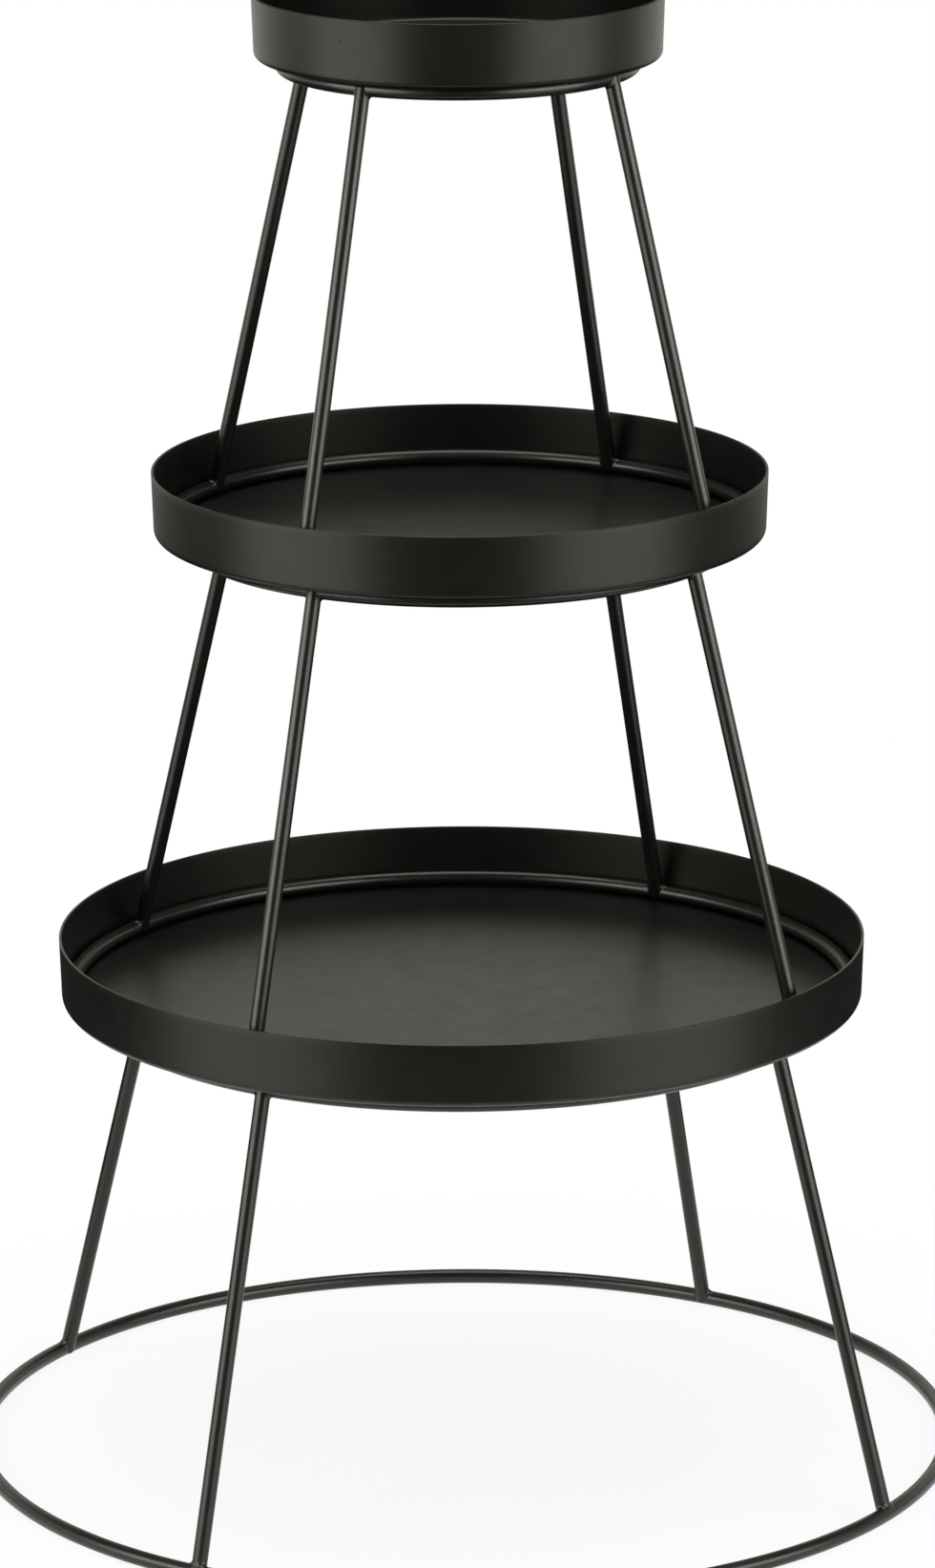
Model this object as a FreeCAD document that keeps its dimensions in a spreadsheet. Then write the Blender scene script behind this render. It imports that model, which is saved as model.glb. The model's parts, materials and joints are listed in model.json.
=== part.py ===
import FreeCAD, Part
import math
import os
import Sketcher

# A three-tier stand of black-coated steel. Each tier is a wire frame, a foot ring, four leaning legs and a
# smaller support ring, that carries a round pressed tray. The two upper tiers stand inside the tray below.
# The origin is on the table under the middle of the base ring, +Z is up and -Y is the front.

doc = FreeCAD.newDocument("Etagere")

# Driving dimensions, in millimetres and degrees
SIZES = {
    "wire_diameter": (6, "round wire of every ring and leg"),
    "sheet_thickness": (1, "pressed sheet of the trays"),
    "frame_height": (187, "table or tray floor to the underside of a tray"),
    "base_ring_diameter": (396, "outside of the ring on the table"),
    "lower_tray_diameter": (320, "outside of the lower rim's edge"),
    "middle_tray_diameter": (242, "outside of the middle rim's edge"),
    "top_tray_diameter": (160, "outside of the top rim's edge"),
    "lower_support_diameter": (294, "outside of the ring under the lower tray"),
    "middle_support_diameter": (216, "outside of the ring under the middle tray"),
    "top_support_diameter": (142, "outside of the ring under the top tray"),
    "rim_height": (25, "underside of a tray to the edge of its rim"),
    "rim_flare": (2, "lean of the rim outwards, in degrees"),
    "bend_radius": (2.5, "outside of the bend between floor and rim"),
    "edge_round": (0.3, "rounding of the rim's cut edge"),
    "ring_clearance": (0.5, "foot ring to the rim around it"),
    "stack_gap": (0.3, "foot ring to the tray floor under it"),
    "leg_foot_inset": (1, "leg's centre line inside the foot ring's"),
    "leg_head_outset": (0.8, "leg's centre line outside the support ring's"),
    "leg_end_gap": (1, "leg's tip short of the ring's far side"),
    "weld_radius": (2, "bead beside a leg"),
    "tack_radius": (1.3, "spot of weld under a tray"),
}
sheet = doc.addObject("Spreadsheet::Sheet", "Sizes")
for row, (alias, (value, meaning)) in enumerate(SIZES.items(), start=1):
    sheet.set(f"A{row}", meaning)
    sheet.set(f"B{row}", str(value))
    sheet.setAlias(f"B{row}", alias)
doc.recompute()

TIER_BELOW = {"lower": None, "middle": "lower", "top": "middle"}
LEG_CORNERS = ("front_left", "front_right", "rear_left", "rear_right")
LEG_ANGLES = (225, 315, 135, 45)
TACK_ANGLES = (22, 112, 202, 292)
WIRE_RADIUS = "Sizes.wire_diameter / 2"

UP = FreeCAD.Vector(0, 0, 1)

nodes = []


def outward(angle):
    """Direction away from the stand's axis at an angle around it."""
    return FreeCAD.Vector(math.cos(math.radians(angle)), math.sin(math.radians(angle)), 0)


def along_ring(angle):
    """Direction of a ring's wire at an angle around the stand's axis."""
    return UP.cross(outward(angle))


def finished(piece):
    """Keep a finished piece for export under its own label."""
    nodes.append(piece)
    return piece


def group(name, members):
    """Several shapes as one, to be cut or to cut with."""
    compound = doc.addObject("Part::Compound", name)
    compound.Links = members
    return compound


def cut(name, base, tool):
    """What is left of one shape where another is not."""
    piece = doc.addObject("Part::Cut", name)
    piece.Base = base
    piece.Tool = tool
    return piece


# Levels, radii and lean of one tier, which follow from the driving dimensions
def derive_tier(tier, below):
    """Values for a tier that stands on the table or in the tray of the tier below."""
    values = doc.addObject("App::VarSet", f"{tier}_tier")

    def derive(name, formula):
        values.addProperty("App::PropertyFloat", name)
        values.setExpression(name, formula)

    if below is None:
        derive("foot_level", "0")
        derive("foot_ring_radius", "(Sizes.base_ring_diameter - Sizes.wire_diameter) / 2")
    else:
        derive("foot_level", f"{below}_tier.tray_level + Sizes.sheet_thickness + Sizes.stack_gap")
        rim_inside = "Sizes.rim_height - Sizes.sheet_thickness"
        derive("depth_in_rim", f"{rim_inside} - Sizes.stack_gap - {WIRE_RADIUS}")
        derive("reach_to_rim", f"Sizes.sheet_thickness + Sizes.ring_clearance + {WIRE_RADIUS}")
        derive(
            "foot_ring_radius",
            f"Sizes.{below}_tray_diameter / 2 - depth_in_rim * tan(Sizes.rim_flare)"
            " - reach_to_rim / cos(Sizes.rim_flare)",
        )
    derive("tray_level", "foot_level + Sizes.frame_height")
    derive("foot_ring_level", f"foot_level + {WIRE_RADIUS}")
    derive("support_ring_level", f"tray_level - {WIRE_RADIUS}")
    derive("support_ring_radius", f"(Sizes.{tier}_support_diameter - Sizes.wire_diameter) / 2")
    derive("leg_foot_radius", "foot_ring_radius - Sizes.leg_foot_inset")
    derive("leg_head_radius", "support_ring_radius + Sizes.leg_head_outset")
    derive("lean", "atan((leg_foot_radius - leg_head_radius) / (support_ring_level - foot_ring_level))")
    derive("leg_start_level", f"foot_level + Sizes.leg_end_gap + {WIRE_RADIUS} * sin(lean)")
    derive("leg_end_level", f"tray_level - Sizes.leg_end_gap - {WIRE_RADIUS} * sin(lean)")
    derive("leg_start_radius", "leg_foot_radius + (foot_ring_level - leg_start_level) * tan(lean)")
    derive("leg_length", "(leg_end_level - leg_start_level) / cos(lean)")
    derive("foot_weld_radius", f"leg_foot_radius - {WIRE_RADIUS} * sin(lean)")
    derive("foot_weld_level", f"foot_ring_level + {WIRE_RADIUS} * cos(lean)")
    derive("head_weld_radius", f"leg_head_radius + {WIRE_RADIUS} * sin(lean)")
    derive("head_weld_level", f"support_ring_level - {WIRE_RADIUS} * cos(lean)")
    derive("tack_radius", f"support_ring_radius + {WIRE_RADIUS} * sin(45)")
    derive("tack_level", f"support_ring_level + {WIRE_RADIUS} * cos(45)")


# A ring bent from one length of wire and closed
def make_ring(name, tier, place):
    """A ring at the foot or the support place of a tier."""
    ring = doc.addObject("Part::Torus", name)
    ring.setExpression("Radius1", f"{tier}_tier.{place}_ring_radius")
    ring.setExpression("Radius2", WIRE_RADIUS)
    ring.setExpression("Placement.Base.z", f"{tier}_tier.{place}_ring_level")
    return finished(ring)


# A straight leg, leaning in, its ends cut to the round of both rings
def make_leg(tier, corner, angle, rings):
    """A rod from the foot ring's inner side to the support ring's outer side, less both rings."""
    lean_axis = along_ring(angle) * -1
    rod = doc.addObject("Part::Cylinder", f"{tier}_rod_{corner}")
    rod.Placement = FreeCAD.Placement(FreeCAD.Vector(), FreeCAD.Rotation(lean_axis, 1))
    rod.setExpression("Radius", WIRE_RADIUS)
    rod.setExpression("Height", f"{tier}_tier.leg_length")
    rod.setExpression("Placement.Rotation.Angle", f"{tier}_tier.lean")
    rod.setExpression("Placement.Base.x", f"{tier}_tier.leg_start_radius * cos({angle})")
    rod.setExpression("Placement.Base.y", f"{tier}_tier.leg_start_radius * sin({angle})")
    rod.setExpression("Placement.Base.z", f"{tier}_tier.leg_start_level")
    return finished(cut(f"{tier}_leg_{corner}", rod, rings))


# A tray pressed from one disc of sheet, with a flat floor and a plain flared rim
def make_tray(tier):
    """The tray's section turned about the axis, its bend and rim edge rounded."""
    rim_radius = sheet.get(f"{tier}_tray_diameter") / 2
    flare = math.tan(math.radians(sheet.rim_flare))
    wall = sheet.sheet_thickness / math.cos(math.radians(sheet.rim_flare))
    floor_radius = rim_radius - sheet.rim_height * flare
    inner_radius = floor_radius - wall + sheet.sheet_thickness * flare

    body = doc.addObject("PartDesign::Body", f"{tier}_tray")
    body.setExpression("Placement.Base.z", f"{tier}_tier.tray_level")
    section = body.newObject("Sketcher::SketchObject", f"{tier}_tray_section")
    plane = next(feature for feature in body.Origin.OriginFeatures if feature.Role == "XZ_Plane")
    section.AttachmentSupport = [(plane, "")]
    section.MapMode = "FlatFace"
    corners = [
        FreeCAD.Vector(0, 0, 0),
        FreeCAD.Vector(floor_radius, 0, 0),
        FreeCAD.Vector(rim_radius, sheet.rim_height, 0),
        FreeCAD.Vector(rim_radius - wall, sheet.rim_height, 0),
        FreeCAD.Vector(inner_radius, sheet.sheet_thickness, 0),
        FreeCAD.Vector(0, sheet.sheet_thickness, 0),
    ]
    sides = [Part.LineSegment(start, end) for start, end in zip(corners, corners[1:] + corners[:1])]
    underside, outer_wall, rim_edge, inner_wall, floor, axis = section.addGeometry(sides, False)

    begin, finish, root = 1, 2, -1
    loop = (underside, outer_wall, rim_edge, inner_wall, floor, axis)
    for side, following in zip(loop, loop[1:] + loop[:1]):
        section.addConstraint(Sketcher.Constraint("Coincident", side, finish, following, begin))
    for side in (underside, rim_edge, floor):
        section.addConstraint(Sketcher.Constraint("Horizontal", side))
    section.addConstraint(Sketcher.Constraint("Vertical", axis))
    section.addConstraint(Sketcher.Constraint("Coincident", underside, begin, root, begin))
    section.addConstraint(Sketcher.Constraint("Parallel", outer_wall, inner_wall))

    def dimension(name, constraint, formula):
        number = section.addConstraint(constraint)
        section.renameConstraint(number, name)
        section.setExpression(f"Constraints.{name}", formula)

    dimension(
        "rim_radius",
        Sketcher.Constraint("DistanceX", root, begin, outer_wall, finish, rim_radius),
        f"Sizes.{tier}_tray_diameter / 2",
    )
    dimension(
        "floor_radius",
        Sketcher.Constraint("DistanceX", root, begin, underside, finish, floor_radius),
        f"Sizes.{tier}_tray_diameter / 2 - Sizes.rim_height * tan(Sizes.rim_flare)",
    )
    dimension(
        "rim_height",
        Sketcher.Constraint("DistanceY", root, begin, outer_wall, finish, sheet.rim_height),
        "Sizes.rim_height",
    )
    dimension(
        "floor_thickness",
        Sketcher.Constraint("DistanceY", root, begin, floor, finish, sheet.sheet_thickness),
        "Sizes.sheet_thickness",
    )
    dimension(
        "wall_thickness",
        Sketcher.Constraint("DistanceX", rim_edge, finish, rim_edge, begin, wall),
        "Sizes.sheet_thickness / cos(Sizes.rim_flare)",
    )

    turned = body.newObject("PartDesign::Revolution", f"{tier}_tray_turned")
    turned.Profile = section
    turned.ReferenceAxis = (section, ["V_Axis"])
    turned.Angle = 360
    section.Visibility = False
    doc.recompute()

    def round_off(name, base, circles, formula):
        edges = []
        for number, edge in enumerate(base.Shape.Edges, start=1):
            if not isinstance(edge.Curve, Part.Circle):
                continue
            found = (edge.Curve.Radius, edge.Curve.Center.z)
            if any(math.dist(found, circle) < sheet.edge_round / 10 for circle in circles):
                edges.append(f"Edge{number}")
        fillet = body.newObject("PartDesign::Fillet", f"{tier}_tray_{name}")
        fillet.Base = (base, edges)
        fillet.setExpression("Radius", formula)
        doc.recompute()
        return fillet

    outer_bend = round_off("outer_bend", turned, [(floor_radius, 0)], "Sizes.bend_radius")
    inner_bend = round_off(
        "inner_bend",
        outer_bend,
        [(inner_radius, sheet.sheet_thickness)],
        "Sizes.bend_radius - Sizes.sheet_thickness",
    )
    rim_circles = [(rim_radius, sheet.rim_height), (rim_radius - wall, sheet.rim_height)]
    body.Tip = round_off("rim_edge", inner_bend, rim_circles, "Sizes.edge_round")
    return finished(body)


# A ball of weld metal, before the pieces it joins are taken out of it
def make_ball(name, radius, centre, pole, seam):
    """A ball at three formulas for its centre, with its poles and seam turned clear of the cuts."""
    ball = doc.addObject("Part::Sphere", name)
    turn = FreeCAD.Rotation(seam, FreeCAD.Vector(), pole, "ZXY")
    ball.Placement = FreeCAD.Placement(FreeCAD.Vector(), turn)
    ball.setExpression("Radius", radius)
    for letter, formula in zip("xyz", centre):
        ball.setExpression(f"Placement.Base.{letter}", formula)
    return ball


# The beads on both sides of each leg where it meets a ring
def make_welds(tier, place, metal):
    """Beads at the foot or the head of a tier's legs, as one group of solids."""
    away_from_ring = UP if place == "foot" else UP * -1
    along = f"{tier}_tier.{place}_weld_radius"
    balls = []
    for corner, angle in zip(LEG_CORNERS, LEG_ANGLES):
        for side, turn in (("left", 1), ("right", -1)):
            away_from_leg = along_ring(angle) * turn
            across = f"{turn} * {WIRE_RADIUS}"
            centre = (
                f"{along} * cos({angle}) - {across} * sin({angle})",
                f"{along} * sin({angle}) + {across} * cos({angle})",
                f"{tier}_tier.{place}_weld_level",
            )
            name = f"{tier}_{place}_ball_{corner}_{side}"
            pole = away_from_leg - away_from_ring
            seam = (away_from_leg + away_from_ring) * -1
            balls.append(make_ball(name, "Sizes.weld_radius", centre, pole, seam))
    beads = group(f"{tier}_{place}_balls", balls)
    return finished(cut(f"{tier}_{place}_welds", beads, metal))


# The spots that hold a tray to the ring under it
def make_tacks(tier, support_ring, tray):
    """Spots on the outer shoulder of the support ring, as one group of solids."""
    balls = []
    for angle in TACK_ANGLES:
        centre = (
            f"{tier}_tier.tack_radius * cos({angle})",
            f"{tier}_tier.tack_radius * sin({angle})",
            f"{tier}_tier.tack_level",
        )
        name = f"{tier}_tack_ball_{angle}"
        shoulder = outward(angle) + UP
        balls.append(make_ball(name, "Sizes.tack_radius", centre, shoulder, outward(angle)))
    spots = group(f"{tier}_tack_balls", balls)
    below_tray = cut(f"{tier}_tacks_below_tray", spots, tray)
    return finished(cut(f"{tier}_tray_tacks", below_tray, support_ring))


# The three tiers, from the table up
for tier, below in TIER_BELOW.items():
    derive_tier(tier, below)
    doc.recompute()
    foot_name = "base_ring" if below is None else f"{tier}_foot_ring"
    foot_ring = make_ring(foot_name, tier, "foot")
    support_ring = make_ring(f"{tier}_support_ring", tier, "support")
    rings = group(f"{tier}_rings", [foot_ring, support_ring])
    legs = [make_leg(tier, corner, angle, rings) for corner, angle in zip(LEG_CORNERS, LEG_ANGLES)]
    tray = make_tray(tier)
    make_welds(tier, "foot", group(f"{tier}_foot_metal", [foot_ring, *legs]))
    make_welds(tier, "head", group(f"{tier}_head_metal", [support_ring, *legs]))
    make_tacks(tier, support_ring, tray)
    doc.recompute()

# Every object must have been worked out, and every piece must be a sound shape, before anything is written
faults = [item.Label for item in doc.Objects if {"Invalid", "Error"} & set(item.State)]
faults += [piece.Label for piece in nodes if piece.Shape.isNull() or not piece.Shape.isValid()]
if faults:
    raise RuntimeError("not sound: " + ", ".join(faults))

os.makedirs("parts", exist_ok=True)
for piece in nodes:
    piece.Shape.exportStep(f"parts/{piece.Label}.step")
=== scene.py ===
import json
import math

import bpy
import numpy as np
from mathutils import Matrix, Vector

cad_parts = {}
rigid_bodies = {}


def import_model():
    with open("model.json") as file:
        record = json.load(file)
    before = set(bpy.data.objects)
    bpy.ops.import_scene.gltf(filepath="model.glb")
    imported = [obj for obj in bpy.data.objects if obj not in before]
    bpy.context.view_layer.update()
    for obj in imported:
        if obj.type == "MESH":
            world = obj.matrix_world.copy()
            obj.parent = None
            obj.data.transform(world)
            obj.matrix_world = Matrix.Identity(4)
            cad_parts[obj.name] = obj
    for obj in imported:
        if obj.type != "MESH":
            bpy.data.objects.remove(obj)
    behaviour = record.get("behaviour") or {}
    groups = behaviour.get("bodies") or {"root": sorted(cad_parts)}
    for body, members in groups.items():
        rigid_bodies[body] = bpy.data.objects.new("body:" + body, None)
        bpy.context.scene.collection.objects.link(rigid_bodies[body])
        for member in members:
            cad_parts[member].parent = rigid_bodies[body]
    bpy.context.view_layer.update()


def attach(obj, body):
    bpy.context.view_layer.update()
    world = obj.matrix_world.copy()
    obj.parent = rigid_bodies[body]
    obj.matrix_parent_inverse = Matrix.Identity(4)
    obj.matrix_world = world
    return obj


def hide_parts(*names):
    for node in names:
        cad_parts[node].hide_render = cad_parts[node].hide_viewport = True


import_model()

# Foot rings and support rings
# Hoops of 6 mm round steel wire, rolled and butt welded, two to a tier. The wide foot ring stands on the
# table or inside the rim of the tray below, the narrow support ring carries a tray, and the whole frame is
# powder coated satin black.
WIRE_RADIUS = 0.003
FRAME_HEIGHT = 0.187
BASE_RING_RADIUS = 0.195
SUPPORT_RADIUS = {"lower": 0.144, "middle": 0.105, "top": 0.068}
RIM_RADIUS = {"lower": 0.160, "middle": 0.121, "top": 0.080}
RIM_HEIGHT = 0.025
RIM_FLARE = math.radians(2.0)
SHEET = 0.001
RING_CLEARANCE = 0.0005
STACK_GAP = 0.0003
RING_ROWS = 480
RING_COLUMNS = 32


def stacked_tiers():
    """The radius and level of each tier's rings and tray, from the table up.

    A tray lies one frame height above what its tier stands on. The next tier stands on the floor of that
    tray, and its foot ring is as wide as the flared rim leaves room for at the ring's own height.
    """
    tiers = {}
    stand = 0.0
    foot_radius = BASE_RING_RADIUS
    for tier, support_radius in SUPPORT_RADIUS.items():
        tray_level = stand + FRAME_HEIGHT
        tiers[tier] = {
            "foot": (foot_radius, stand + WIRE_RADIUS),
            "support": (support_radius, tray_level - WIRE_RADIUS),
            "tray": (RIM_RADIUS[tier], tray_level),
        }
        stand = tray_level + SHEET + STACK_GAP
        below_edge = RIM_HEIGHT - SHEET - STACK_GAP - WIRE_RADIUS
        off_rim = (SHEET + RING_CLEARANCE + WIRE_RADIUS) / math.cos(RIM_FLARE)
        foot_radius = RIM_RADIUS[tier] - below_edge * math.tan(RIM_FLARE) - off_rim
    return tiers


def hoop(radius, level):
    """A ring of wire: a circle of the wire's radius carried round a level circle about the stand's axis."""
    round_ring = np.linspace(0.0, 2.0 * np.pi, RING_ROWS, endpoint=False)[:, None]
    round_wire = np.linspace(0.0, 2.0 * np.pi, RING_COLUMNS, endpoint=False)[None, :]
    reach = radius + WIRE_RADIUS * np.cos(round_wire)
    height = level + WIRE_RADIUS * np.sin(round_wire) + 0.0 * round_ring
    return np.stack([reach * np.cos(round_ring), reach * np.sin(round_ring), height], axis=-1)


def skin(name, grids, tips=None):
    """One mesh over a stack of point grids, each joined point to point along its rows and round its columns.

    Without tips the last row meets the first, as in a hoop. With tips, two points to a grid, each end row
    closes in a fan on its tip. All faces are turned over if the volume that they enclose comes out negative.
    """
    parts, rows, columns = grids.shape[:3]
    index = np.arange(parts * rows * columns).reshape(parts, rows, columns)
    points = grids.reshape(-1, 3)
    fans = np.empty((0, 3), dtype=int)
    here, ahead = index, np.roll(index, -1, axis=1)
    if tips is not None:
        here, ahead = index[:, :-1], index[:, 1:]
        tip = np.repeat(len(points) + 2 * np.arange(parts)[:, None], columns, axis=1)
        first, last = index[:, 0], index[:, -1]
        start_fan = np.stack([tip, np.roll(first, -1, axis=1), first], axis=-1)
        end_fan = np.stack([tip + 1, last, np.roll(last, -1, axis=1)], axis=-1)
        fans = np.concatenate([start_fan.reshape(-1, 3), end_fan.reshape(-1, 3)])
        points = np.concatenate([points, tips.reshape(-1, 3)])
    quads = np.stack([here, np.roll(here, -1, axis=2), np.roll(ahead, -1, axis=2), ahead], axis=-1)
    quads = quads.reshape(-1, 4)
    corners = points[np.concatenate([quads[:, [0, 1, 2]], quads[:, [0, 2, 3]], fans])]
    volume = np.einsum("ij,ij->", corners[:, 0], np.cross(corners[:, 1], corners[:, 2]))
    if volume < 0:
        quads, fans = quads[:, ::-1], fans[:, ::-1]
    sides = np.concatenate([np.full(len(quads), 4), np.full(len(fans), 3)])
    loops = np.concatenate([quads.ravel(), fans.ravel()])
    mesh = bpy.data.meshes.new(name)
    mesh.vertices.add(len(points))
    mesh.vertices.foreach_set("co", points.ravel())
    mesh.loops.add(len(loops))
    mesh.loops.foreach_set("vertex_index", loops)
    mesh.polygons.add(len(sides))
    mesh.polygons.foreach_set("loop_start", np.cumsum(sides) - sides)
    mesh.polygons.foreach_set("use_smooth", np.ones(len(sides), dtype=bool))
    mesh.update(calc_edges=True)
    mesh.validate()
    piece = bpy.data.objects.new(name, mesh)
    bpy.context.scene.collection.objects.link(piece)
    return piece


COAT_DARK = (0.0022, 0.0022, 0.0019)
COAT_LIGHT = (0.0042, 0.0042, 0.0036)
COAT_IOR = 1.5
CLOUDS_PER_METRE = 45.0
PATCHES_PER_METRE = 110.0
PATCH_SPAN = (0.3, 0.7)
PEEL_PER_METRE = 620.0
PEEL_HEIGHT = 0.0006
GRAIN_PER_METRE = 1800.0
GRAIN_HEIGHT = 0.0002
NIBS_PER_METRE = 95.0
NIB_SPAN = (0.018, 0.045)
NIB_STRENGTH = 0.5
NIB_HEIGHT = 0.0002
WIRE_TINT = (0.98, 1.0, 0.88)


def ramp(tree, value, span, ends, smooth=True):
    """A shader value carried from a span to two new ends, by a smooth step or in a straight line."""
    step = tree.nodes.new("ShaderNodeMapRange")
    step.interpolation_type = "SMOOTHSTEP" if smooth else "LINEAR"
    for socket, number in zip(("From Min", "From Max", "To Min", "To Max"), (*span, *ends)):
        step.inputs[socket].default_value = number
    tree.links.new(value, step.inputs["Value"])
    return step.outputs["Result"]


def powder_coat(name, tint, matt, gloss, peel, grain, dark=COAT_DARK, light=COAT_LIGHT):
    """Sprayed and baked powder: two near-blacks in soft clouds, orange peel, fine grain and a few nibs.

    tint is the colour of the gloss, matt and gloss are the roughest and smoothest patches, and peel and grain
    are how strongly the orange peel and the grain read.
    """
    coat = bpy.data.materials.new(name)
    coat.use_nodes = True
    tree = coat.node_tree
    shader = tree.nodes["Principled BSDF"]
    place = tree.nodes.new("ShaderNodeTexCoord").outputs["Object"]

    def noise(per_metre, detail):
        """Soft lumps, so many to a metre."""
        texture = tree.nodes.new("ShaderNodeTexNoise")
        texture.inputs["Scale"].default_value = per_metre
        texture.inputs["Detail"].default_value = detail
        tree.links.new(place, texture.inputs["Vector"])
        return texture.outputs["Fac"]

    def raised(relief, strength, height, below=None):
        """A relief of a given height, laid over the relief below it."""
        bump = tree.nodes.new("ShaderNodeBump")
        bump.inputs["Strength"].default_value = strength
        bump.inputs["Distance"].default_value = height
        tree.links.new(relief, bump.inputs["Height"])
        if below is not None:
            tree.links.new(below, bump.inputs["Normal"])
        return bump.outputs["Normal"]

    clouds = tree.nodes.new("ShaderNodeMix")
    clouds.data_type = "RGBA"
    clouds.inputs["A"].default_value = (*dark, 1.0)
    clouds.inputs["B"].default_value = (*light, 1.0)
    tree.links.new(noise(CLOUDS_PER_METRE, detail=3.0), clouds.inputs["Factor"])
    tree.links.new(clouds.outputs["Result"], shader.inputs["Base Color"])

    patches = ramp(tree, noise(PATCHES_PER_METRE, detail=4.0), PATCH_SPAN, (gloss, matt), smooth=False)
    tree.links.new(patches, shader.inputs["Roughness"])

    specks = tree.nodes.new("ShaderNodeTexVoronoi")
    specks.inputs["Scale"].default_value = NIBS_PER_METRE
    tree.links.new(place, specks.inputs["Vector"])
    nibs = ramp(tree, specks.outputs["Distance"], NIB_SPAN, (1.0, 0.0))

    relief = raised(noise(PEEL_PER_METRE, detail=2.0), peel, PEEL_HEIGHT)
    relief = raised(noise(GRAIN_PER_METRE, detail=2.0), grain, GRAIN_HEIGHT, relief)
    relief = raised(nibs, NIB_STRENGTH, NIB_HEIGHT, relief)
    tree.links.new(relief, shader.inputs["Normal"])
    shader.inputs["IOR"].default_value = COAT_IOR
    shader.inputs["Specular Tint"].default_value = (*tint, 1.0)
    return coat


def fit(piece, node, tier, coat):
    """Coats a piece and sets it on its tier, in the place of the solid that it stands for."""
    piece.data.materials.append(coat)
    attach(piece, f"{tier}_tier")
    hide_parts(node)


TIERS = stacked_tiers()
wire_coat = powder_coat("wire_coat", WIRE_TINT, matt=0.35, gloss=0.28, peel=0.05, grain=0.24)
for tier, places in TIERS.items():
    foot_ring = "base_ring" if tier == "lower" else f"{tier}_foot_ring"
    for node, place in ((foot_ring, "foot"), (f"{tier}_support_ring", "support")):
        fit(skin(f"{node}_coated", hoop(*places[place])[None]), node, tier, wire_coat)

# Legs
# Straight lengths of the same wire, four to a tier. Each leans inwards from the inner side of the foot ring
# to the outer side of the support ring, and its ends, melted round by the welding, run into the shoulders of
# both rings.
LEG_ANGLES = {"front_left": 225, "front_right": 315, "rear_left": 135, "rear_right": 45}
LEG_INSIDE_FOOT = 0.001
LEG_OUTSIDE_SUPPORT = 0.0008
LEG_TIP_GAP = 0.0007
LEG_COLUMNS = 40
SHANK_ROWS = 26
MELTED_END = 0.0022
MELTED_ROWS = 12
MELTED_START = 0.15


def leg_line(tier):
    """The line of a leg, as its radius at the foot ring's level, its slope, and its lean from upright."""
    foot_radius, foot_level = TIERS[tier]["foot"]
    support_radius, support_level = TIERS[tier]["support"]
    foot = foot_radius - LEG_INSIDE_FOOT
    head = support_radius + LEG_OUTSIDE_SUPPORT
    slope = (foot - head) / (support_level - foot_level)
    return foot, slope, math.atan(slope)


def turned(points, angle):
    """Points turned about the stand's axis by degrees, with x and y mixed by the angle's cosine and sine."""
    cosine, sine = math.cos(math.radians(angle)), math.sin(math.radians(angle))
    x, y, z = np.moveaxis(points, -1, 0)
    return np.stack([cosine * x - sine * y, sine * x + cosine * y, z], axis=-1)


def rod(tier):
    """A rod in the plane of the stand's axis, and its two tips.

    Circles square to the leg's line are carried along it, and drawn in to a quarter ellipse at each end.
    """
    foot, slope, lean = leg_line(tier)
    foot_level, support_level = TIERS[tier]["foot"][1], TIERS[tier]["support"][1]
    lowest = foot_level - WIRE_RADIUS + LEG_TIP_GAP
    highest = support_level + WIRE_RADIUS - LEG_TIP_GAP
    length = (highest - lowest) / math.cos(lean)
    dome = MELTED_END * (1.0 - np.cos(np.linspace(MELTED_START, np.pi / 2.0, MELTED_ROWS)))
    shank = np.linspace(MELTED_END, length - MELTED_END, SHANK_ROWS)[1:-1]
    along = np.concatenate([dome, shank, length - dome[::-1]])
    from_end = np.minimum(np.minimum(along, length - along) / MELTED_END, 1.0)
    width = WIRE_RADIUS * np.sqrt(1.0 - (1.0 - from_end) ** 2)
    upward = np.array([-math.sin(lean), 0.0, math.cos(lean)])
    outward = np.array([math.cos(lean), 0.0, math.sin(lean)])
    sideways = np.array([0.0, 1.0, 0.0])
    start = np.array([foot - slope * (lowest - foot_level), 0.0, lowest])
    spin = np.linspace(0.0, 2.0 * np.pi, LEG_COLUMNS, endpoint=False)
    circle = np.cos(spin)[:, None] * outward + np.sin(spin)[:, None] * sideways
    points = start + along[:, None, None] * upward + width[:, None, None] * circle[None]
    return points, np.stack([start, start + length * upward])


for tier in TIERS:
    leg, leg_tips = rod(tier)
    for corner, angle in LEG_ANGLES.items():
        node = f"{tier}_leg_{corner}"
        piece = skin(f"{node}_coated", turned(leg, angle)[None], turned(leg_tips, angle)[None])
        fit(piece, node, tier, wire_coat)

# Weld beads
# A fillet of weld metal runs round the end of each leg where it enters a ring: a smooth small one under the
# tray, and a fuller, lumpier one at the foot. They were left as welded and coated over with the frame.
BEADS = {
    "foot": {"ring": "foot", "side": -1.0, "offset": LEG_INSIDE_FOOT, "size": 0.0019, "lumps": 0.15},
    "head": {"ring": "support", "side": 1.0, "offset": LEG_OUTSIDE_SUPPORT, "size": 0.0015, "lumps": 0.12},
}
BEAD_ROWS = 120
BEAD_COLUMNS = 12
BEAD_LOW = math.radians(-122.5)
BEAD_HIGH = math.radians(14.0)
BEAD_TAPER = math.radians(-4.0)
BEAD_SHRINK = math.radians(-55.0)
BEAD_TAIL = 0.12
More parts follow.
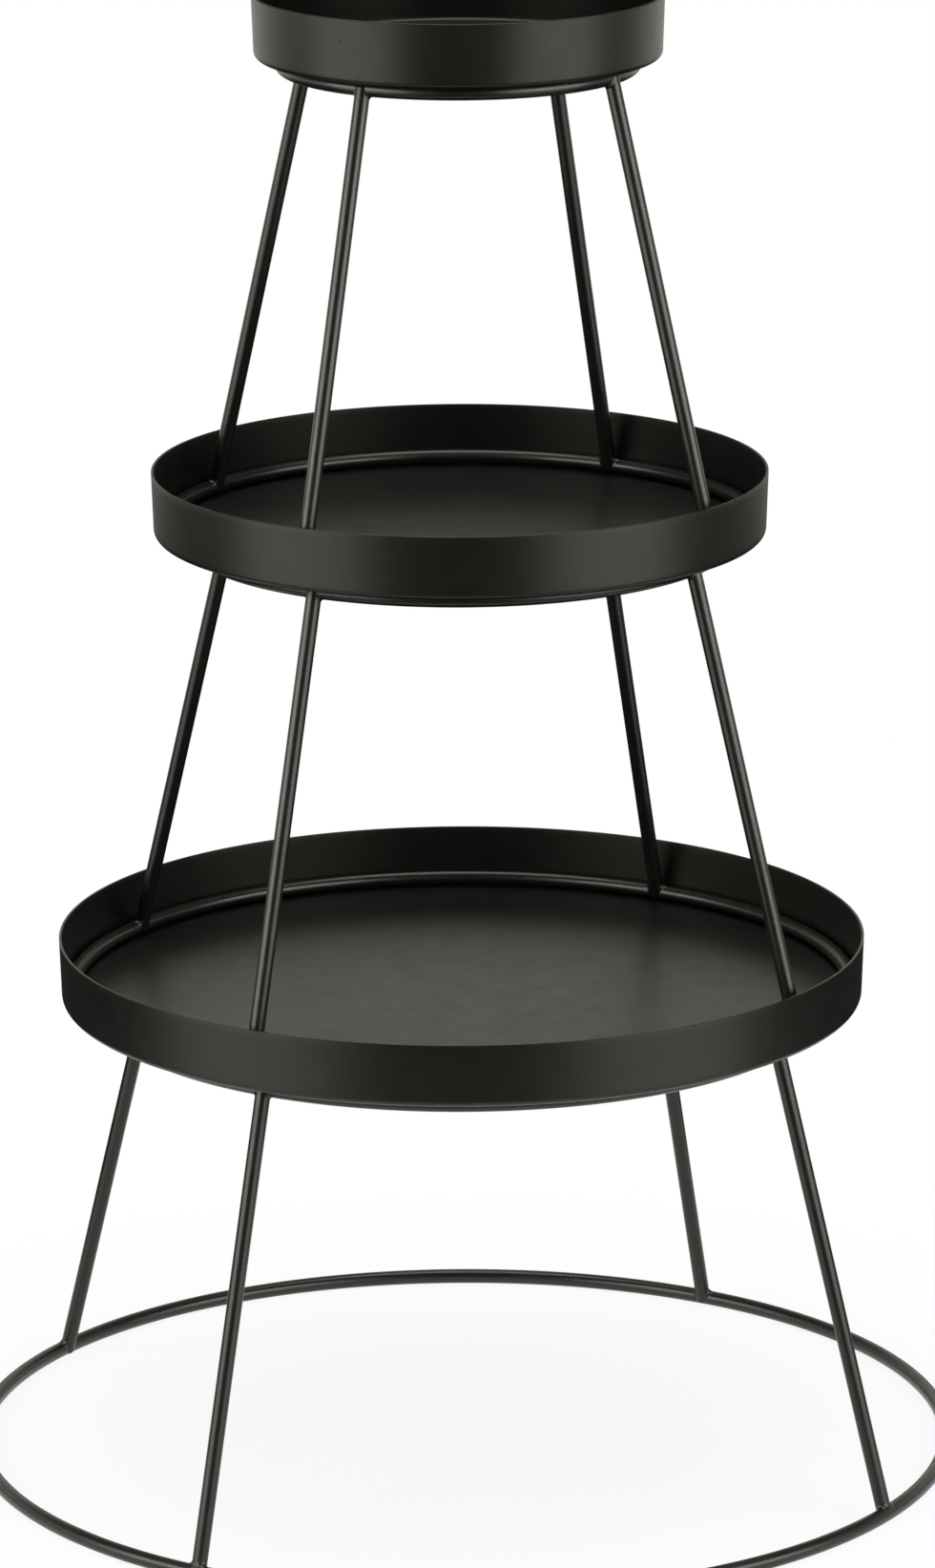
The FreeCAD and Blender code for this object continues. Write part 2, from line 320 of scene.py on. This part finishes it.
# Waves to a round, their share of the lumps, and how far the leg's own phase shifts them.
BEAD_WAVES = ((3.0, 1.0, 1.0), (5.0, 0.6, 2.3), (11.0, 0.2, 0.0))
BEAD_TURN = 1.7
BEAD_ROOT = 0.0005
BEAD_BITE = 0.00003
BEAD_CLEARANCE = 0.00003
WELD_DARK = (0.0024, 0.0024, 0.0021)
WELD_LIGHT = (0.0048, 0.0048, 0.0042)


def unit(ways):
    """Ways divided by their own lengths."""
    return ways / np.linalg.norm(ways, axis=-1, keepdims=True)


def off_leg_line(tier, points):
    """The shortest way from a leg's line to points: the way from its foot less the part along the line."""
    foot, _, lean = leg_line(tier)
    upward = np.array([-math.sin(lean), 0.0, math.cos(lean)])
    away = points - np.array([foot, 0.0, TIERS[tier]["foot"][1]])
    return away - (away @ upward)[..., None] * upward


def off_ring_line(radius, level, points):
    """The shortest way from a ring's centre circle to points, outwards from the stand's axis and up."""
    x, y, z = np.moveaxis(points, -1, 0)
    flat = np.hypot(x, y)
    return np.stack([(flat - radius) * x / flat, (flat - radius) * y / flat, z - level], axis=-1)


def outside_wire(way):
    """The part of a way from a wire's centre line that is past its surface, with a toe's bite added."""
    length = np.linalg.norm(way, axis=-1, keepdims=True)
    return (length - WIRE_RADIUS + BEAD_BITE) * way / length


def meeting_line(tier, place, course):
    """The line where a leg meets a ring, as angles about the ring's wire, points, and ways off the ring.

    A point of the ring at an angle about its wire lies on the leg where its distance from the leg's line is
    the wire's radius. That is a quadratic in the cosine of its turn about the stand. The angle swings between
    the bead's low and high ends, and past the taper the line's two sides draw together in an ellipse.
    """
    side, offset = BEADS[place]["side"], BEADS[place]["offset"]
    radius, level = TIERS[tier][BEADS[place]["ring"]]
    _, slope, lean = leg_line(tier)
    angle = 0.5 * (BEAD_HIGH + BEAD_LOW) + 0.5 * (BEAD_HIGH - BEAD_LOW) * np.cos(course)
    reach = radius + side * WIRE_RADIUS * np.cos(angle)
    leg_reach = radius + side * (offset - WIRE_RADIUS * np.sin(angle) * slope)
    squared = (math.sin(lean) * reach) ** 2
    single = 2.0 * math.cos(lean) ** 2 * reach * leg_reach
    alone = (math.cos(lean) * leg_reach) ** 2 + reach ** 2 - WIRE_RADIUS ** 2
    cosine = (np.sqrt(single ** 2 + 4.0 * squared * alone) - single) / (2.0 * squared)
    past = np.clip((angle - BEAD_TAPER) / (BEAD_HIGH - BEAD_TAPER), 0.0, 1.0)
    turn = np.sign(np.sin(course)) * np.arccos(np.clip(cosine, -1.0, 1.0)) * np.sqrt(1.0 - past ** 2)
    radial = np.stack([np.cos(turn), np.sin(turn), 0.0 * turn], axis=-1)
    up = np.array([0.0, 0.0, 1.0])
    meet = reach[:, None] * radial + (level + side * WIRE_RADIUS * np.sin(angle))[:, None] * up
    return angle, meet, side * (np.cos(angle)[:, None] * radial + np.sin(angle)[:, None] * up)


def bead(tier, place, phase):
    """A fillet carried round the line where a leg and a ring meet.

    The section runs from the leg to the ring in a parabola that is tangent to both, with its toes a hair deep
    in the wire, and closes on a root in the metal of both. Its size swells and sinks along the line in a few
    sine waves, and fades by a smooth step to a thin tail at the leg's tip.
    """
    weld = BEADS[place]
    radius, level = TIERS[tier][weld["ring"]]
    course = np.linspace(0.0, 2.0 * np.pi, BEAD_ROWS, endpoint=False)
    angle, meet, off_ring = meeting_line(tier, place, course)
    off_leg = unit(off_leg_line(tier, meet))
    mixed = np.sum(off_ring * off_leg, axis=-1, keepdims=True)
    up_leg = unit(off_ring - mixed * off_leg)
    along_ring = unit(off_leg - mixed * off_ring)
    waves = sum(share * np.sin(count * course + shift * phase) for count, share, shift in BEAD_WAVES)
    fade = np.clip((angle - BEAD_SHRINK) / (BEAD_HIGH - BEAD_SHRINK), 0.0, 1.0)
    swell = (1.0 + weld["lumps"] * waves) * (1.0 - (1.0 - BEAD_TAIL) * fade ** 2 * (3.0 - 2.0 * fade))
    toe = (weld["size"] * swell)[:, None, None]
    across = np.linspace(0.0, 1.0, BEAD_COLUMNS - 1)[None, :, None]
    near_leg, near_ring = (1.0 - across) ** 2, across ** 2
    on_leg = meet[:, None] + toe * near_leg * up_leg[:, None]
    on_ring = meet[:, None] + toe * near_ring * along_ring[:, None]
    leg_fix = outside_wire(off_leg_line(tier, on_leg))
    ring_fix = outside_wire(off_ring_line(radius, level, on_ring))
    face = on_leg + on_ring - meet[:, None] - near_leg * leg_fix - near_ring * ring_fix
    root = meet - BEAD_ROOT * unit(off_ring + off_leg)
    points = np.concatenate([face, root[:, None]], axis=1)
    side = weld["side"]
    limit = side * level + WIRE_RADIUS - BEAD_CLEARANCE
    points[..., 2] = side * np.minimum(side * points[..., 2], limit)
    return points


weld_coat = powder_coat(
    "weld_coat", WIRE_TINT, matt=0.38, gloss=0.28, peel=0.12, grain=0.24, dark=WELD_DARK, light=WELD_LIGHT
)
for tier in TIERS:
    for place in BEADS:
        node = f"{tier}_{place}_welds"
        rounds = [
            turned(bead(tier, place, math.radians(angle) * BEAD_TURN), angle) for angle in LEG_ANGLES.values()
        ]
        fit(skin(f"{node}_coated", np.stack(rounds)), node, tier, weld_coat)

# Trays
# Round trays pressed from 1 mm steel sheet: a flat floor, a tight bend and a plain rim that stands 25 mm high
# and flares a little. The rim's raw edge is only deburred, and each tray lies on its support ring.
OUTER_BEND = 0.0025
EDGE_ROUND = 0.0003
TRAY_COLUMNS = 320
FLOOR_ROWS = 18
BEND_ROWS = 14
WALL_ROWS = 12
EDGE_ROWS = 6
TRAY_TINT = (0.93, 1.0, 0.81)


def tray(rim_radius, level):
    """The section of a tray turned about its axis, and the middles of its underside and floor.

    From the middle of the underside it runs out flat, round the outer bend, up the flared wall, over the
    rounded edge of the rim, down inside, round the inner bend about the same centre, and back along the
    floor.
    """
    wall_in = math.sin(RIM_FLARE)
    wall_up = math.cos(RIM_FLARE)
    foot_radius = rim_radius - RIM_HEIGHT * math.tan(RIM_FLARE)
    bend_reach = OUTER_BEND * (1.0 - wall_in) / wall_up
    centre = np.array([foot_radius - bend_reach, OUTER_BEND])
    sweep = np.linspace(-np.pi / 2.0, -RIM_FLARE, BEND_ROWS)[:, None]
    turn = np.concatenate([np.cos(sweep), np.sin(sweep)], axis=1)
    outer_bend = centre + OUTER_BEND * turn
    inner_bend = (centre + (OUTER_BEND - SHEET) * turn)[::-1]
    across = np.array([1.0, 0.0])
    along = np.array([wall_in, wall_up])
    outer_corner = np.array([rim_radius, RIM_HEIGHT])
    inner_corner = outer_corner - across * SHEET / wall_up
    edge = np.linspace(0.0, np.pi / 2.0, EDGE_ROWS)[:, None]
    drop_off, draw_in = (1.0 - np.sin(edge)) * along, (1.0 - np.cos(edge)) * across
    outer_edge = outer_corner - EDGE_ROUND * (drop_off + draw_in)
    inner_edge = (inner_corner - EDGE_ROUND * (drop_off - draw_in))[::-1]
    rise = np.linspace(0.0, 1.0, WALL_ROWS)[1:-1, None]
    outer_wall = outer_bend[-1] + rise * (outer_edge[0] - outer_bend[-1])
    inner_wall = inner_edge[-1] + rise * (inner_bend[0] - inner_edge[-1])
    spread = np.linspace(0.0, 1.0, FLOOR_ROWS)[1:-1, None]
    under = np.concatenate([spread * outer_bend[0, 0], 0.0 * spread], axis=1)
    floor = np.concatenate([(1.0 - spread) * inner_bend[-1, 0], 0.0 * spread + SHEET], axis=1)
    section = np.concatenate(
        [under, outer_bend, outer_wall, outer_edge, inner_edge, inner_wall, inner_bend, floor]
    )
    spin = np.linspace(0.0, 2.0 * np.pi, TRAY_COLUMNS, endpoint=False)[None, :]
    out, height = section[:, :1], section[:, 1:]
    points = np.stack([out * np.cos(spin), out * np.sin(spin), level + height + 0.0 * spin], axis=-1)
    return points, np.array([[0.0, 0.0, level], [0.0, 0.0, level + SHEET]])


tray_coat = powder_coat("tray_coat", TRAY_TINT, matt=0.40, gloss=0.36, peel=0.03, grain=0.09)
for tier, places in TIERS.items():
    sheet, middles = tray(*places["tray"])
    fit(skin(f"{tier}_tray_coated", sheet[None], middles[None]), f"{tier}_tray", tier, tray_coat)

# Tack welds
# Four small spots of weld hold each tray to the outer shoulder of its support ring, out of sight from above.
# They are drops of weld metal, coated over with the frame.
TACK_ANGLES = (22, 112, 202, 292)
TACK_RADIUS = 0.0013
TACK_RIPPLE = 0.03
TACK_RIPPLES = 6.0
TACK_ROWS = 14
TACK_COLUMNS = 24


def drop(tier):
    """A ball about a point of the ring's shoulder, and its two poles.

    Its radius ripples from pole to pole by a cosine, as the weld froze in rounds.
    """
    ring_radius, ring_level = TIERS[tier]["support"]
    down = np.linspace(0.0, np.pi, TACK_ROWS + 2)[1:-1, None]
    spin = np.linspace(0.0, 2.0 * np.pi, TACK_COLUMNS, endpoint=False)[None, :]
    size = TACK_RADIUS * (1.0 - TACK_RIPPLE - TACK_RIPPLE * np.cos(TACK_RIPPLES * down))
    shoulder = WIRE_RADIUS * math.sqrt(0.5)
    centre = np.array([ring_radius + shoulder, 0.0, ring_level + shoulder])
    x = size * np.cos(down) + 0.0 * spin
    y = size * np.sin(down) * np.cos(spin)
    z = size * np.sin(down) * np.sin(spin)
    poles = np.array([[1.0, 0.0, 0.0], [-1.0, 0.0, 0.0]]) * TACK_RADIUS * (1.0 - 2.0 * TACK_RIPPLE)
    return centre + np.stack([x, y, z], axis=-1), centre + poles


for tier in TIERS:
    spot, spot_poles = drop(tier)
    spots = np.stack([turned(spot, angle) for angle in TACK_ANGLES])
    poles = np.stack([turned(spot_poles, angle) for angle in TACK_ANGLES])
    node = f"{tier}_tray_tacks"
    fit(skin(f"{node}_coated", spots, poles), node, tier, weld_coat)

# Floor
# A plain pale disc under the stand. It takes the shadow near the stand, and turns to the white of the
# background towards its edge for what looks at it or mirrors it.
FLOOR_RADIUS = 0.42
FLOOR_SIDES = 128
FLOOR_GREY = (0.8, 0.8, 0.8, 1.0)
FLOOR_FADE = (0.10, 0.36)
FLOOR_WHITE = (0.85, 1.0)


def combined(tree, operation, first, second):
    """Two shader values put together by one operation."""
    both = tree.nodes.new("ShaderNodeMath")
    both.operation = operation
    tree.links.new(first, both.inputs[0])
    tree.links.new(second, both.inputs[1])
    return both.outputs["Value"]


def seen_or_mirrored(tree):
    """1 on rays from the camera, from a mirror or through glass, and 0 on the rays that carry light."""
    path = tree.nodes.new("ShaderNodeLightPath").outputs
    either = combined(tree, "MAXIMUM", path["Is Camera Ray"], path["Is Glossy Ray"])
    return combined(tree, "MAXIMUM", either, path["Is Transmission Ray"])


around = np.linspace(0.0, 2.0 * np.pi, FLOOR_SIDES, endpoint=False)
floor_edge = FLOOR_RADIUS * np.stack([np.cos(around), np.sin(around), 0.0 * around], axis=-1)
floor_mesh = bpy.data.meshes.new("floor")
floor_mesh.from_pydata(floor_edge.tolist(), [], [list(range(FLOOR_SIDES))])
floor = bpy.data.objects.new("floor", floor_mesh)
bpy.context.scene.collection.objects.link(floor)
pale = bpy.data.materials.new("pale_floor")
pale.use_nodes = True
pale_tree = pale.node_tree
pale_tree.nodes.remove(pale_tree.nodes["Principled BSDF"])
matt_floor = pale_tree.nodes.new("ShaderNodeBsdfDiffuse")
matt_floor.inputs["Color"].default_value = FLOOR_GREY
white_floor = pale_tree.nodes.new("ShaderNodeEmission")
floor_place = pale_tree.nodes.new("ShaderNodeTexCoord")
from_middle = pale_tree.nodes.new("ShaderNodeVectorMath")
from_middle.operation = "LENGTH"
pale_tree.links.new(floor_place.outputs["Object"], from_middle.inputs[0])
fade = ramp(pale_tree, from_middle.outputs["Value"], FLOOR_FADE, FLOOR_WHITE)
floor_mix = pale_tree.nodes.new("ShaderNodeMixShader")
shown_white = combined(pale_tree, "MULTIPLY", fade, seen_or_mirrored(pale_tree))
pale_tree.links.new(shown_white, floor_mix.inputs["Fac"])
pale_tree.links.new(matt_floor.outputs["BSDF"], floor_mix.inputs[1])
pale_tree.links.new(white_floor.outputs["Emission"], floor_mix.inputs[2])
pale_tree.links.new(floor_mix.outputs["Shader"], pale_tree.nodes["Material Output"].inputs["Surface"])
floor_mesh.materials.append(pale)

# Background
# Plain white for whatever looks at it or mirrors it, and a weak even fill for the light that it gives.
BACKGROUND_FILL = 0.35
world = bpy.data.worlds.new("white_background")
bpy.context.scene.world = world
world.use_nodes = True
sky = world.node_tree
sky.nodes["Background"].inputs["Color"].default_value = (1.0, 1.0, 1.0, 1.0)
sky_strength = ramp(sky, seen_or_mirrored(sky), (0.0, 1.0), (BACKGROUND_FILL, 1.0), smooth=False)
sky.links.new(sky_strength, sky.nodes["Background"].inputs["Strength"])

# Lights
# A tall soft light to each side of the camera and one overhead. The upper part of the side lights is bright
# on the wire and dimmer on the trays, whose floors would mirror it, and their lower parts are weak.
LIGHT_DISTANCE = 1.6
LIGHT_WIDTH = 1.5
SIDE_LIGHTS = {"left_light": 196.7, "right_light": 313.7}
# Low edge, high edge, power, and the only pieces that the band lights.
LIGHT_BANDS = {
    "upper": (0.4, 1.2, 21.0, "wire"),
    "upper_dim": (0.4, 1.2, 6.0, "tray"),
    "middle": (0.0, 0.4, 4.2, None),
    "lower": (-0.55, 0.0, 3.8, None),
}
OVERHEAD_LEVEL = 2.2
OVERHEAD_SIZE = 1.4
OVERHEAD_POWER = 18.0


def soft_light(name, width, height, power, place, way):
    """A rectangle of even light at a place, facing along a way, and unseen by the camera itself."""
    lamp = bpy.data.lights.new(name, "AREA")
    lamp.shape = "RECTANGLE"
    lamp.size = width
    lamp.size_y = height
    lamp.energy = power
    lit = bpy.data.objects.new(name, lamp)
    lit.location = place
    lit.rotation_mode = "QUATERNION"
    lit.rotation_quaternion = way.to_track_quat("-Z", "Y")
    lit.visible_camera = False
    bpy.context.scene.collection.objects.link(lit)
    return lit


lit_pieces = {kind: bpy.data.collections.new(f"lit_{kind}") for kind in ("wire", "tray")}
for piece in bpy.context.scene.objects:
    if piece.type == "MESH":
        lit_pieces["tray" if piece.name.endswith("_tray_coated") else "wire"].objects.link(piece)
for side, angle in SIDE_LIGHTS.items():
    toward = Vector((math.cos(math.radians(angle)), math.sin(math.radians(angle)), 0.0))
    for band, (low, high, power, kind) in LIGHT_BANDS.items():
        place = toward * LIGHT_DISTANCE + Vector((0.0, 0.0, 0.5 * (low + high)))
        lit = soft_light(f"{side}_{band}", LIGHT_WIDTH, high - low, power, place, -toward)
        if kind is not None:
            lit.light_linking.receiver_collection = lit_pieces[kind]
overhead = Vector((0.0, 0.0, OVERHEAD_LEVEL))
downward = Vector((0.0, 0.0, -1.0))
soft_light("overhead_light", OVERHEAD_SIZE, OVERHEAD_SIZE, OVERHEAD_POWER, overhead, downward)

# Mirror screen
# A round screen about the stand and the camera that only mirrors see. It is almost black low down, grey at
# the height that the tray floors mirror and dim above, so that the black coat keeps dark edges on white.
SCREEN_RADIUS = 2.2
SCREEN_MIDDLE = (-0.253, -1.070)
SCREEN_LEVELS = (-1.5, 2.6)
SCREEN_SIDES = 96
SCREEN_COLOUR = (1.0, 1.0, 0.91, 1.0)
SCREEN_GREY = 1.0
SCREEN_GREY_FROM = (0.0, 0.35)
SCREEN_GREY_UNTIL = (0.5, 0.82)
SCREEN_GREY_ABOVE = 0.15
SCREEN_FRONT_TO_BACK = (-0.6, 0.6)
SCREEN_FRONT_SHARE = 0.3
SCREEN_LOW_FRONT = 0.1
SCREEN_LOW_BACK = 0.02
bearing = np.linspace(0.0, 2.0 * np.pi, SCREEN_SIDES, endpoint=False)
screen_ring = SCREEN_RADIUS * np.stack([np.cos(bearing), np.sin(bearing), 0.0 * bearing], axis=-1)
screen_points = np.concatenate([screen_ring + (*SCREEN_MIDDLE, level) for level in SCREEN_LEVELS])
this_side = np.arange(SCREEN_SIDES)
next_side = np.roll(this_side, -1)
screen_walls = np.stack([this_side, next_side, next_side + SCREEN_SIDES, this_side + SCREEN_SIDES], axis=-1)
screen_mesh = bpy.data.meshes.new("mirror_screen")
screen_mesh.from_pydata(screen_points.tolist(), [], screen_walls.tolist() + [this_side.tolist()])
screen = bpy.data.objects.new("mirror_screen", screen_mesh)
bpy.context.scene.collection.objects.link(screen)
screen.visible_camera = False
screen.visible_diffuse = False
screen.visible_shadow = False
screen.visible_transmission = False
screen_shade = bpy.data.materials.new("screen_shade")
screen_shade.use_nodes = True
shade_tree = screen_shade.node_tree
shade_tree.nodes.remove(shade_tree.nodes["Principled BSDF"])
screen_glow = shade_tree.nodes.new("ShaderNodeEmission")
screen_glow.inputs["Color"].default_value = SCREEN_COLOUR
screen_place = shade_tree.nodes.new("ShaderNodeTexCoord")
screen_axes = shade_tree.nodes.new("ShaderNodeSeparateXYZ")
shade_tree.links.new(screen_place.outputs["Object"], screen_axes.inputs["Vector"])
upward, backward = screen_axes.outputs["Z"], screen_axes.outputs["Y"]
band_foot = ramp(shade_tree, upward, SCREEN_GREY_FROM, (0.0, SCREEN_GREY))
band_head = ramp(shade_tree, upward, SCREEN_GREY_UNTIL, (1.0, SCREEN_GREY_ABOVE))
band_share = ramp(shade_tree, backward, SCREEN_FRONT_TO_BACK, (SCREEN_FRONT_SHARE, 1.0))
whole_band = combined(shade_tree, "MULTIPLY", band_foot, band_head)
grey_band = combined(shade_tree, "MULTIPLY", whole_band, band_share)
below_band = ramp(shade_tree, upward, SCREEN_GREY_FROM, (1.0, 0.0))
low_share = ramp(shade_tree, backward, SCREEN_FRONT_TO_BACK, (SCREEN_LOW_FRONT, SCREEN_LOW_BACK))
low_band = combined(shade_tree, "MULTIPLY", below_band, low_share)
shade_tree.links.new(combined(shade_tree, "ADD", grey_band, low_band), screen_glow.inputs["Strength"])
shade_tree.links.new(screen_glow.outputs["Emission"], shade_tree.nodes["Material Output"].inputs["Surface"])
screen_mesh.materials.append(screen_shade)

# Camera
# A long lens well back from the stand and above it, looking down at the trays and level to within a degree.
CAMERA_LENS = 181.785
CAMERA_SENSOR = 36.0
CAMERA_CLIP = (0.05, 20.0)
CAMERA_PLACE = Vector((-0.69548, -2.94987, 1.07059))
CAMERA_HEADING = Vector((0.23031, 0.97312, 0.0))
CAMERA_PITCH = math.radians(14.757)
CAMERA_ROLL = math.radians(-0.204)
camera_data = bpy.data.cameras.new("camera")
camera_data.lens = CAMERA_LENS
camera_data.sensor_width = CAMERA_SENSOR
camera_data.clip_start, camera_data.clip_end = CAMERA_CLIP
camera = bpy.data.objects.new("camera", camera_data)
view_way = CAMERA_HEADING * math.cos(CAMERA_PITCH) - Vector((0.0, 0.0, math.sin(CAMERA_PITCH)))
level_right = Vector((CAMERA_HEADING.y, -CAMERA_HEADING.x, 0.0))
level_up = level_right.cross(view_way)
right = level_right * math.cos(CAMERA_ROLL) + level_up * math.sin(CAMERA_ROLL)
upright = level_up * math.cos(CAMERA_ROLL) - level_right * math.sin(CAMERA_ROLL)
aim = Matrix((right, upright, -view_way)).transposed().to_4x4()
camera.matrix_world = Matrix.Translation(CAMERA_PLACE) @ aim
bpy.context.scene.collection.objects.link(camera)
bpy.context.scene.camera = camera
bpy.context.scene.view_settings.view_transform = "Standard"
